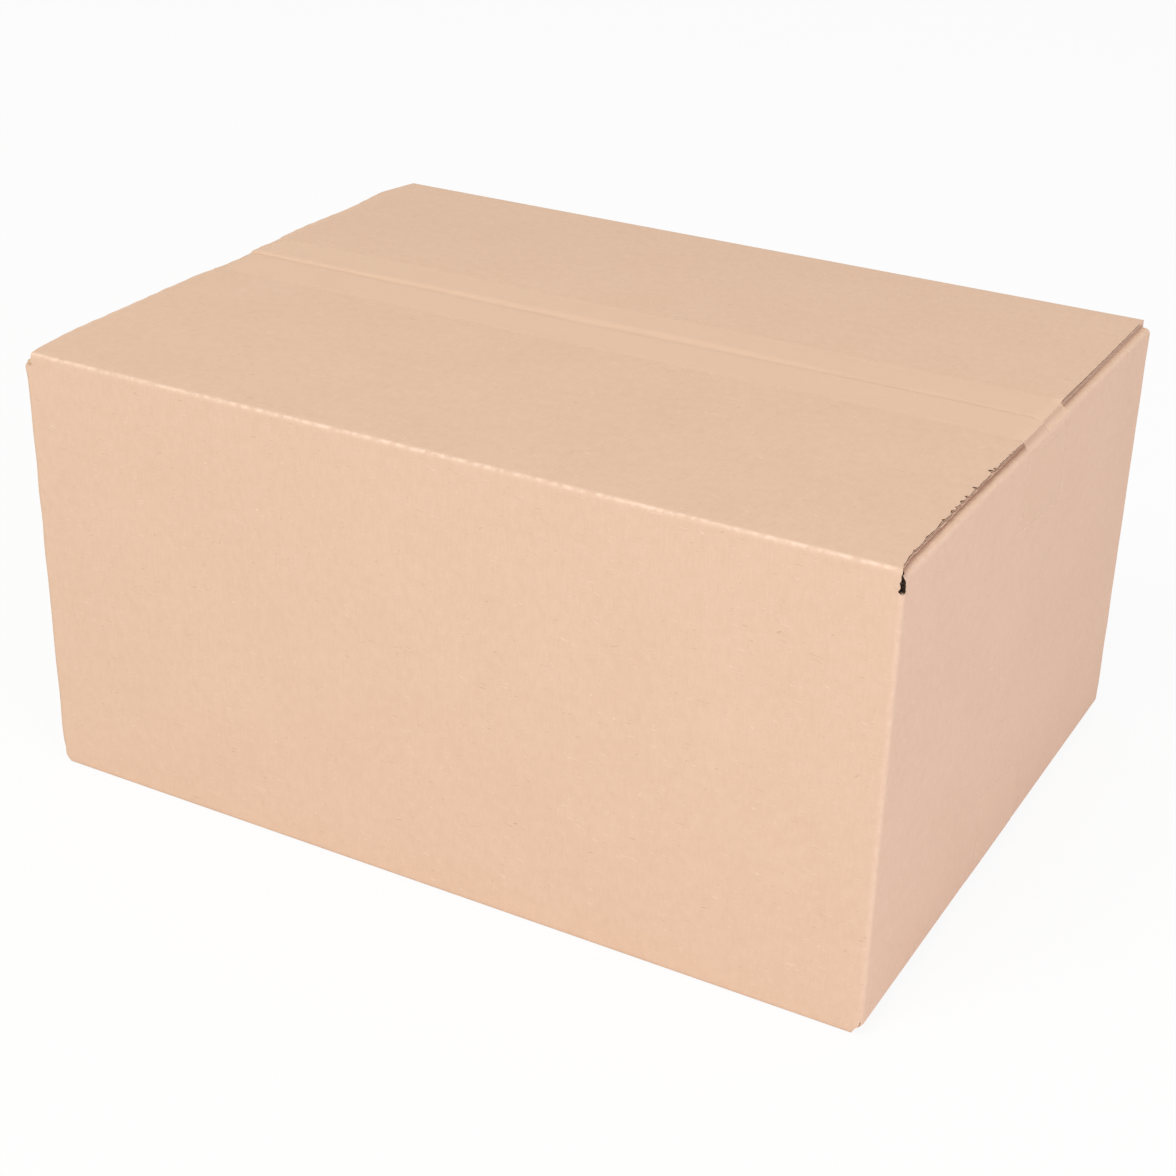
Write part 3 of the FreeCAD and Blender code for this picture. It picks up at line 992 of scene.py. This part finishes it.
def panel_line(side, y, tail_z):
    """Points (beyond the end panel, height) down the face of an end panel, with the film's gap."""
    v = np.concatenate([np.linspace(side.top + 1.5, side.top - 6.0, 16),
                        np.linspace(side.top - 7.5, tail_z - BASE_Z, 14)])
    u = (y - side.centre[1]) * side.along[1]
    spots = place(side, u, v, 0.0)
    _, _, facing_out, facing_up = section(side, v)
    beyond = (spots - side.centre) @ side.outward + FILM_GAP * facing_out
    return beyond, spots[:, 2] + FILM_GAP * facing_up


def end_descent(out, z, side, y, tail_z):
    """Points (beyond the end panel, z) of film pulled from a flap's edge down an end panel."""
    beyond, heights = panel_line(side, y, tail_z)
    if out < 0:
        lean = np.where(heights < z - 0.5, (beyond - out) / (z - heights), -9.0)
        touch = int(np.argmax(lean))
        points = [(out, z)]
        points += [(out + (beyond[touch] - out) * s, z + (heights[touch] - z) * s)
                   for s in (0.12, 0.28, 0.45, 0.62, 0.8)]
    else:
        touch = int(np.argmin(np.abs(heights - (z - BOARD - 9.0))))
        low = z - BOARD + 0.4
        points = [(out, z), (out + FILM_GAP, z - 0.5), (out + FILM_GAP, low)]
        points += [(out + (beyond[touch] - out) * smooth_step(s, -0.15, 1.0),
                    low + (heights[touch] - low) * s)
                   for s in (0.25, 0.5, 0.75)]
    steps_down = np.linspace(heights[touch], heights[-1], 17)
    across = np.interp(-steps_down, -heights[touch:], beyond[touch:])
    return points + list(zip(across, steps_down))


def draw_film(name, paths, inset):
    """A closed film over a grid of points, as thick as FILM."""
    points = np.array(paths)
    along = np.gradient(points, axis=1)
    across = np.gradient(points, axis=0)
    facing = np.cross(along, across)
    facing /= np.linalg.norm(facing, axis=2, keepdims=True)
    pen = Pen()
    lower = pen.add(points, points)
    upper = pen.add(points + facing * FILM * inset, points)
    flip = inset < 0
    pen.strip(upper, 0, not flip)
    pen.strip(lower, 0, flip)
    for first, second, turned in ((lower[0], upper[0], True), (lower[-1], upper[-1], False)):
        pen.strip(np.stack([first, second], 0), 0, turned != flip)
    for first, second, turned in ((lower[:, 0], upper[:, 0], False), (lower[:, -1], upper[:, -1], True)):
        pen.strip(np.stack([first, second], 0), 0, turned != flip)
    piece = pen.make(name, [film], weld=False)
    piece.visible_shadow = False
    piece.visible_diffuse = False
    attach(piece, "root")
    return piece


print("film", FILM, "mm thick")

# %% Lay the top tape
TOP_TAPE_ROWS = np.concatenate([np.linspace(TAPE_LOW_Y, SEAM_Y - 2, 10), SEAM_Y + np.linspace(-1.3, 1.6, 7),
                                SEAM_Y + np.linspace(2.6, 7.0, 6), np.linspace(SEAM_Y + 9, TAPE_HIGH_Y, 7)])


def top_paths():
    paths = []
    for y in TOP_TAPE_ROWS:
        share = (y - TAPE_LOW_Y) / (TAPE_HIGH_Y - TAPE_LOW_Y)
        tail = 164.6 - 7.0 * share + 0.25 * float(ragged(share * 50, 2.2, 51))
        on_front = y < SEAM_Y
        v = np.array([top_v(front, y - FRONT_Y) if on_front else top_v(rear, REAR_Y - y)])
        right_cut = MIDDLE_X + float((flap_cut(front, 1, v) if on_front else flap_cut(rear, -1, v))[0]) - 0.3
        left_cut = MIDDLE_X - float((flap_cut(front, -1, v) if on_front else flap_cut(rear, 1, v))[0])
        near_end = np.array([0.0, 0.8, 1.6, 2.6, 3.8, 5.2, 7.0])
        x = np.concatenate([left_cut + near_end, np.linspace(left_cut + 9, right_cut - 9, 70),
                            right_cut - near_end[::-1]])
        z = surface_z(x, np.full_like(x, y)) + FILM_GAP
        leftward = end_descent(LEFT_X - left_cut, z[0], left, y, tail)
        rightward = end_descent(right_cut - RIGHT_X, z[-1], right, y, tail)
        path = [(LEFT_X - out, y, height) for out, height in leftward[:0:-1]]
        path += [(a, y, b) for a, b in zip(x, z)]
        path += [(RIGHT_X + out, y, height) for out, height in rightward[1:]]
        paths.append(path)
    return paths


top_film = draw_film("top_film", top_paths(), 1)
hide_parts("top_tape")


# %% Lay the bottom tape
def bottom_rise(side, y, tail):
    """Points (beyond the end panel, z) of film pulled from under the box up an end panel."""
    v = np.concatenate([np.linspace(side.low + 0.3, side.low + FOLD + 2.0, 8), np.linspace(11.0, tail, 9)])
    spots = place(side, (y - side.centre[1]) * side.along[1], v, 0.0)
    _, _, facing_out, facing_up = section(side, v)
    beyond = (spots - side.centre) @ side.outward + FILM_GAP * facing_out
    heights = spots[:, 2] + FILM_GAP * facing_up
    start = (beyond[0] - 1.2, FILM + 0.002)
    return [start, ((start[0] + beyond[0]) / 2 + 0.2, heights[0] / 2)] + list(zip(beyond, heights))


def bottom_paths():
    low_y, high_y = (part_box("bottom_tape")[i][1] / MM for i in (0, 1))
    paths = []
    for share in np.linspace(0, 1, TAPE_ROWS):
        y = low_y + share * (high_y - low_y)
        tail = 44.06 - 6.0 * share - 3.0 * smooth_step(share, 0.7, 1.0)
        tail = tail + 0.25 * float(ragged(share * 50, 2.2, 61))
        x = np.linspace(LEFT_X + 4.5, RIGHT_X - 4.5, 60)
        up_left, up_right = (bottom_rise(side, y, tail) for side in (left, right))
        path = [(LEFT_X - out, y, height) for out, height in up_left[::-1]]
        path += [(a, y, FILM + 0.002) for a in x]
        path += [(RIGHT_X + out, y, height) for out, height in up_right]
        paths.append(path)
    return paths


bottom_film = draw_film("bottom_film", bottom_paths(), -1)
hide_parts("bottom_tape")
